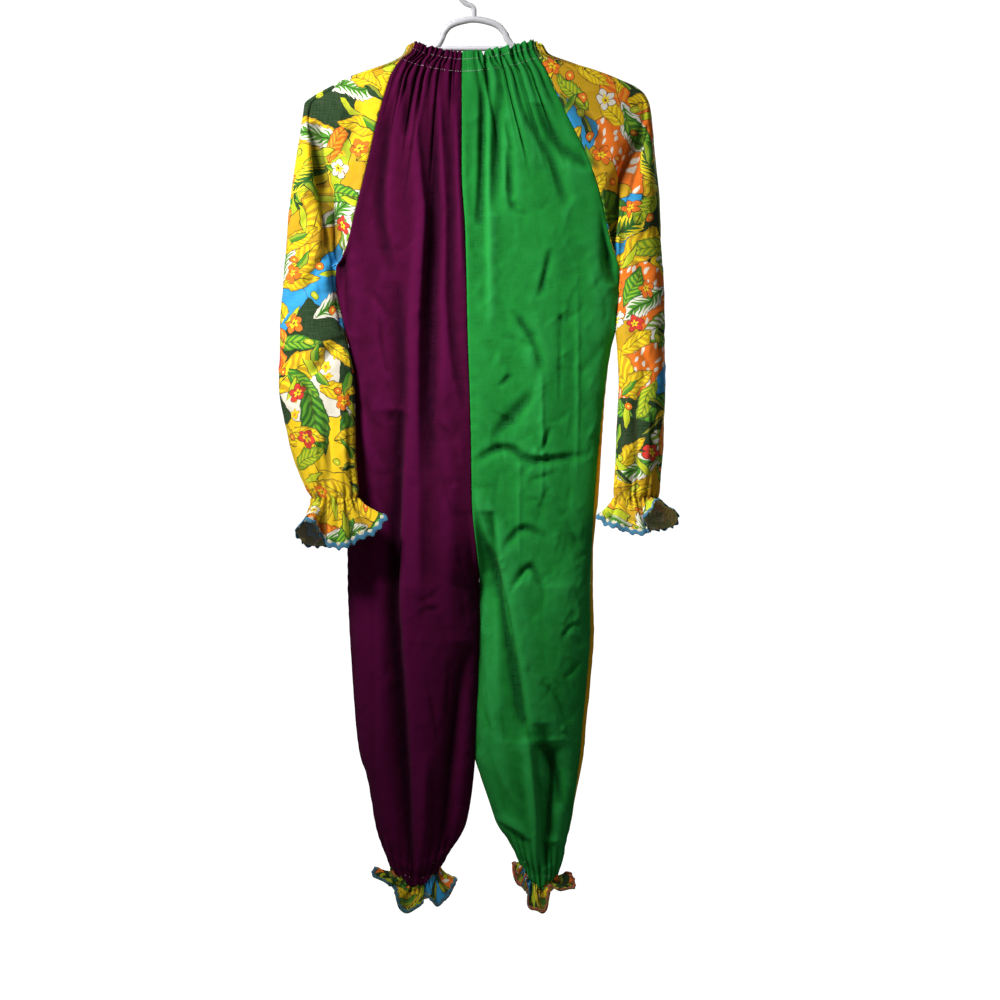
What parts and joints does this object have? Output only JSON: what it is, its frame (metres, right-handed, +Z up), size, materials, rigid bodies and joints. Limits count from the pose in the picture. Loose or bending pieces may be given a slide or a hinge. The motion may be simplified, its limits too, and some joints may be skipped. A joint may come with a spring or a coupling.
{
  "type": "clown jumpsuit on a hanger",
  "caption": "One-piece clown suit with raglan sleeves, hung on a moulded hanger; the neck, wrists and ankles are gathered on elastic and the limbs end in braided ruffles.",
  "frame": {"origin": "inner top of the hanger's hook, where it hangs on a rail", "axes": "+Z up, the front of the suit faces -Y, the wearer's right is at -X"},
  "size_m": [0.5113, 0.1342, 1.224],
  "materials": {
    "plum_cotton": "plain woven cotton, matt",
    "green_cotton": "plain woven cotton, matt",
    "yellow_cotton": "plain woven cotton, matt",
    "printed_cotton": "woven cotton with a flower and leaf print, matt",
    "blue_braid": "woven ric-rac braid",
    "teal_braid": "woven ric-rac braid",
    "rust_braid": "woven ric-rac braid",
    "white_plastic": "moulded, glossy"
  },
  "bodies": {
    "root": {"front_right_panel": "plum_cotton", "front_left_panel": "green_cotton", "back_right_panel": "plum_cotton", "back_left_panel": "yellow_cotton", "sleeve_right": "printed_cotton", "sleeve_left": "printed_cotton", "ankle_ruffle_right": "printed_cotton", "ankle_ruffle_left": "printed_cotton", "cuff_trim_right": "blue_braid", "cuff_trim_left": "blue_braid", "ankle_trim_right": "teal_braid", "ankle_trim_left": "rust_braid", "hanger_frame": "white_plastic", "hanger_hook": "white_plastic"}
  },
  "joints": []
}
